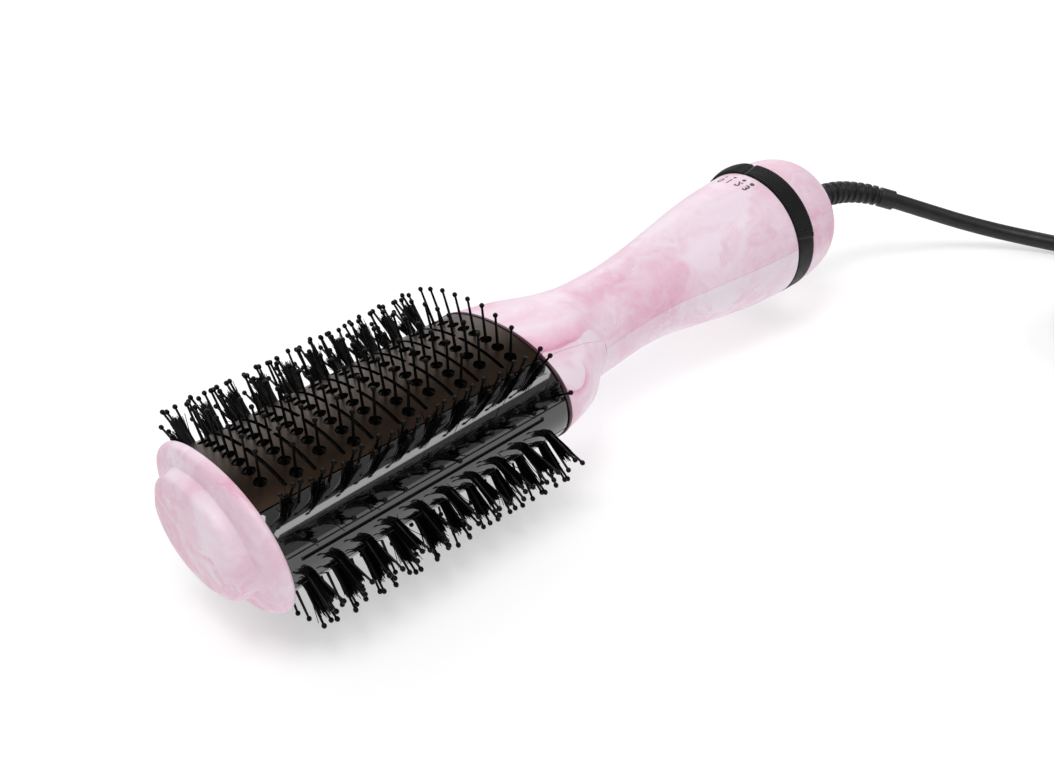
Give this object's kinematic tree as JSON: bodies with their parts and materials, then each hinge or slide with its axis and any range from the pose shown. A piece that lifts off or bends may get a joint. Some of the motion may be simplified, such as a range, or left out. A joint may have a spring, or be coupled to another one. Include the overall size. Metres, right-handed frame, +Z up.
{
  "type": "hot air brush",
  "caption": "Corded hot air brush with an oval heated barrel, ball-tipped pins and bristle tufts, a waisted marbled handle, a turning control ring and an internal fan.",
  "frame": {"origin": "on the floor, under the middle of the brush without its cord", "axes": "+X from the front cap along the brush to the cord, +Y to the far side, +Z up"},
  "size_m": [0.4244, 0.2656, 0.0816],
  "materials": {
    "marble_plastic": "pink and white marbled plastic, satin",
    "bronze_plate": "satin bronze-brown coated sheet metal",
    "gloss_black": "polished black",
    "satin_black": "satin black",
    "bristle_nylon": "black nylon bristles and pins",
    "steel": "plain steel",
    "mica_board": "plain mica sheet",
    "resistance_wire": "drawn wire",
    "circuit_board": "green board",
    "filter_mesh": "fine black mesh",
    "cord_jacket": "matte black jacket",
    "brass_blades": "bright metal"
  },
  "bodies": {
    "brush": {"front_cap": "marble_plastic", "top_plate": "bronze_plate", "bottom_plate": "bronze_plate", "side_panel_near": "gloss_black", "side_panel_far": "gloss_black", "bristle_ring_01": "bristle_nylon", "bristle_ring_02": "bristle_nylon", "bristle_ring_03": "bristle_nylon", "bristle_ring_04": "bristle_nylon", "bristle_ring_05": "bristle_nylon", "bristle_ring_06": "bristle_nylon", "bristle_ring_07": "bristle_nylon", "bristle_ring_08": "bristle_nylon", "bristle_ring_09": "bristle_nylon", "bristle_ring_10": "bristle_nylon", "air_duct": "steel", "tie_rod": "steel", "barrel_seal": "satin_black", "handle_shell_upper": "marble_plastic", "handle_shell_lower": "marble_plastic", "neck_cheek_near": "marble_plastic", "neck_cheek_far": "marble_plastic", "shell_screw_1": "steel", "shell_screw_2": "steel", "heater_frame": "mica_board", "heat_shield": "steel", "heater_coil": "resistance_wire", "thermostat": "satin_black", "motor_mount": "satin_black", "motor": "steel", "switch_sleeve": "satin_black", "circuit_board": "circuit_board", "switch_module": "satin_black", "rear_cap": "marble_plastic", "intake_grille": "satin_black", "intake_filter": "filter_mesh", "cord_bush": "satin_black", "strain_relief": "cord_jacket", "cord_lead": "cord_jacket", "cord_tail": "cord_jacket", "cord_coil": "cord_jacket", "cord_tie": "satin_black", "plug_body": "satin_black", "plug_blade_left": "brass_blades", "plug_blade_right": "brass_blades"},
    "control_ring": {"switch_ring": "satin_black", "switch_cam": "satin_black"},
    "fan_rotor": {"motor_shaft": "steel", "impeller": "satin_black"}
  },
  "joints": [
    {"name": "control_ring_turn", "type": "hinge", "parent": "brush", "child": "control_ring", "pos_m": [0.1335, 0, 0.0426], "axis": [1, 0, 0], "range_deg": [0, 30]},
    {"name": "fan_spin", "type": "hinge", "parent": "brush", "child": "fan_rotor", "pos_m": [0.113, 0, 0.0426], "axis": [1, 0, 0], "continuous": true}
  ]
}
